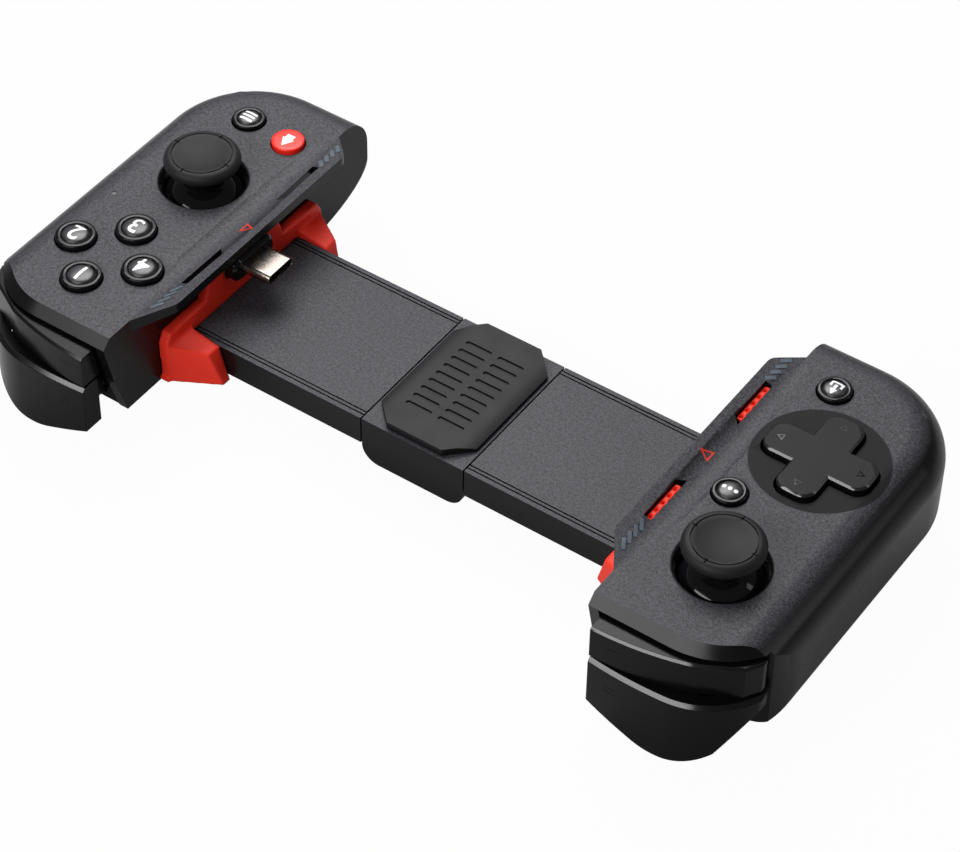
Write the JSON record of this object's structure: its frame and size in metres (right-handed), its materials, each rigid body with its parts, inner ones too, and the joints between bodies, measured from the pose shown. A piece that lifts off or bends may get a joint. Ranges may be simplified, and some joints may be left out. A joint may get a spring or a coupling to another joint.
{
  "type": "mobile game controller",
  "caption": "Telescopic game controller: two grips with sticks, pad, buttons and triggers on a sliding bridge that spreads to hold a phone.",
  "frame": {"origin": "on the surface it lies on, below the middle of the controller at rest, that is, closed", "axes": "+X to the player's right along the bridge, +Y to the shoulder side with the triggers, +Z out of the face with the buttons"},
  "size_m": [0.186, 0.092, 0.0352],
  "materials": {
    "top_grey": "fine texture",
    "bottom_black": "satin",
    "key_black": "gloss",
    "trigger_black": "satin",
    "red_key": "satin",
    "red_rubber": "soft matte",
    "cap_rubber": "matte",
    "membrane_rubber": "soft matte",
    "board_green": "satin",
    "switch_metal": "satin",
    "screw_steel": "zinc",
    "pin_steel": "ground",
    "plug_nickel": "nickel",
    "inner_white": "moulded",
    "clear_light": "clear",
    "cable_amber": "film"
  },
  "bodies": {
    "centre": {"centre_housing_top": "top_grey", "centre_housing_bottom": "bottom_black", "centre_pad": "trigger_black", "centre_screws": "screw_steel", "pinion_axle": "pin_steel", "return_spring": "pin_steel"},
    "pinion": {"pinion": "inner_white"},
    "grip_right": {"right_top_shell": "top_grey", "right_bottom_shell": "bottom_black", "right_circuit_board": "board_green", "right_switches": "switch_metal", "right_screws": "screw_steel", "right_stick_base": "switch_metal", "right_trigger_pin": "pin_steel", "right_trigger_spring": "pin_steel", "right_slider_cover": "top_grey", "right_slider_base": "bottom_black", "right_rack_rail": "inner_white", "right_cradle_insert": "red_rubber", "action_membrane": "membrane_rubber", "led_light_pipe": "clear_light", "plug_collar": "bottom_black", "plug_shell": "plug_nickel", "plug_core": "trigger_black"},
    "grip_left": {"left_top_shell": "top_grey", "left_bottom_shell": "bottom_black", "left_circuit_board": "board_green", "left_switches": "switch_metal", "left_screws": "screw_steel", "left_stick_base": "switch_metal", "left_trigger_pin": "pin_steel", "left_trigger_spring": "pin_steel", "left_slider_cover": "top_grey", "left_slider_base": "bottom_black", "left_rack_rail": "inner_white", "left_cradle_insert": "red_rubber", "pad_membrane": "membrane_rubber", "ribbon_cable": "cable_amber"},
    "right_stick_yoke": {"right_stick_yoke": "inner_white"},
    "right_stick_stem": {"right_stick_stem": "inner_white"},
    "right_stick_cap": {"right_stick_cap": "cap_rubber"},
    "left_stick_yoke": {"left_stick_yoke": "inner_white"},
    "left_stick_stem": {"left_stick_stem": "inner_white"},
    "left_stick_cap": {"left_stick_cap": "cap_rubber"},
    "action_button_1": {"action_button_1": "key_black"},
    "action_button_2": {"action_button_2": "key_black"},
    "action_button_3": {"action_button_3": "key_black"},
    "action_button_4": {"action_button_4": "key_black"},
    "menu_button": {"menu_button": "key_black"},
    "home_button": {"home_button": "red_key"},
    "more_button": {"more_button": "key_black"},
    "share_button": {"share_button": "key_black"},
    "pad_rocker": {"pad_rocker": "inner_white"},
    "pad_cross": {"pad_cross": "key_black"},
    "right_bumper": {"right_bumper": "key_black"},
    "right_trigger": {"right_trigger": "trigger_black"},
    "left_bumper": {"left_bumper": "key_black"},
    "left_trigger": {"left_trigger": "trigger_black"}
  },
  "joints": [
    {"name": "right_slide", "type": "slide", "parent": "centre", "child": "grip_right", "axis": [1, 0, 0], "range_m": [0, 0.042], "stiffness_N_per_m": 40, "springref_m": -0.03},
    {"name": "left_slide", "type": "slide", "parent": "centre", "child": "grip_left", "axis": [-1, 0, 0], "range_m": [0, 0.042]},
    {"name": "pinion_turn", "type": "hinge", "parent": "centre", "child": "pinion", "pos_m": [0, -0.00055, 0.0105], "axis": [0, 0, -1], "range_deg": [0, 505]},
    {"name": "right_stick_forward", "type": "hinge", "parent": "grip_right", "child": "right_stick_yoke", "pos_m": [0.072, -0.0089, 0.0187], "axis": [1, 0, 0], "range_deg": [-14, 14], "stiffness_Nm_per_rad": 0.02},
    {"name": "right_stick_sideways", "type": "hinge", "parent": "right_stick_yoke", "child": "right_stick_stem", "pos_m": [0.072, -0.0089, 0.0187], "axis": [0, 1, 0], "range_deg": [-14, 14], "stiffness_Nm_per_rad": 0.02},
    {"name": "right_stick_click", "type": "slide", "parent": "right_stick_stem", "child": "right_stick_cap", "axis": [0, 0, -1], "range_m": [0, 0.0004], "stiffness_N_per_m": 3000, "springref_m": -0.0004},
    {"name": "left_stick_forward", "type": "hinge", "parent": "grip_left", "child": "left_stick_yoke", "pos_m": [-0.073, 0.0205, 0.0187], "axis": [1, 0, 0], "range_deg": [-14, 14], "stiffness_Nm_per_rad": 0.02},
    {"name": "left_stick_sideways", "type": "hinge", "parent": "left_stick_yoke", "child": "left_stick_stem", "pos_m": [-0.073, 0.0205, 0.0187], "axis": [0, 1, 0], "range_deg": [-14, 14], "stiffness_Nm_per_rad": 0.02},
    {"name": "left_stick_click", "type": "slide", "parent": "left_stick_stem", "child": "left_stick_cap", "axis": [0, 0, -1], "range_m": [0, 0.0004], "stiffness_N_per_m": 3000, "springref_m": -0.0004},
    {"name": "action_button_1_press", "type": "slide", "parent": "grip_right", "child": "action_button_1", "axis": [0, 0, -1], "range_m": [0, 0.0012], "stiffness_N_per_m": 500, "springref_m": -0.0006},
    {"name": "action_button_2_press", "type": "slide", "parent": "grip_right", "child": "action_button_2", "axis": [0, 0, -1], "range_m": [0, 0.0012], "stiffness_N_per_m": 500, "springref_m": -0.0006},
    {"name": "action_button_3_press", "type": "slide", "parent": "grip_right", "child": "action_button_3", "axis": [0, 0, -1], "range_m": [0, 0.0012], "stiffness_N_per_m": 500, "springref_m": -0.0006},
    {"name": "action_button_4_press", "type": "slide", "parent": "grip_right", "child": "action_button_4", "axis": [0, 0, -1], "range_m": [0, 0.0012], "stiffness_N_per_m": 500, "springref_m": -0.0006},
    {"name": "menu_button_press", "type": "slide", "parent": "grip_right", "child": "menu_button", "axis": [0, 0, -1], "range_m": [0, 0.0006], "stiffness_N_per_m": 500, "springref_m": -0.0006},
    {"name": "home_button_press", "type": "slide", "parent": "grip_right", "child": "home_button", "axis": [0, 0, -1], "range_m": [0, 0.0006], "stiffness_N_per_m": 500, "springref_m": -0.0006},
    {"name": "more_button_press", "type": "slide", "parent": "grip_left", "child": "more_button", "axis": [0, 0, -1], "range_m": [0, 0.0006], "stiffness_N_per_m": 500, "springref_m": -0.0006},
    {"name": "share_button_press", "type": "slide", "parent": "grip_left", "child": "share_button", "axis": [0, 0, -1], "range_m": [0, 0.0006], "stiffness_N_per_m": 500, "springref_m": -0.0006},
    {"name": "pad_forward", "type": "hinge", "parent": "grip_left", "child": "pad_rocker", "pos_m": [-0.074, -0.0131, 0.0238], "axis": [1, 0, 0], "range_deg": [-3, 3], "stiffness_Nm_per_rad": 0.05},
    {"name": "pad_sideways", "type": "hinge", "parent": "pad_rocker", "child": "pad_cross", "pos_m": [-0.074, -0.0131, 0.0238], "axis": [0, 1, 0], "range_deg": [-3, 3], "stiffness_Nm_per_rad": 0.05},
    {"name": "right_bumper_press", "type": "hinge", "parent": "grip_right", "child": "right_bumper", "pos_m": [0.0626, 0.0398, 0.022], "axis": [0, 0, -1], "range_deg": [0, 2.5], "stiffness_Nm_per_rad": 0.4, "springref_deg": -1.15},
    {"name": "right_trigger_pull", "type": "hinge", "parent": "grip_right", "child": "right_trigger", "pos_m": [0.072, 0.038, 0.0132], "axis": [-1, 0, 0], "range_deg": [0, 18], "stiffness_Nm_per_rad": 0.06, "springref_deg": -5.73},
    {"name": "left_bumper_press", "type": "hinge", "parent": "grip_left", "child": "left_bumper", "pos_m": [-0.0626, 0.0398, 0.022], "axis": [0, 0, 1], "range_deg": [0, 2.5], "stiffness_Nm_per_rad": 0.4, "springref_deg": -1.15},
    {"name": "left_trigger_pull", "type": "hinge", "parent": "grip_left", "child": "left_trigger", "pos_m": [-0.072, 0.038, 0.0132], "axis": [-1, 0, 0], "range_deg": [0, 18], "stiffness_Nm_per_rad": 0.06, "springref_deg": -5.73}
  ],
  "couplings": [
    {"joint": "left_slide", "follows": "right_slide", "ratio": 1},
    {"joint": "pinion_turn", "follows": "right_slide", "rad_per_m": 208.33}
  ]
}
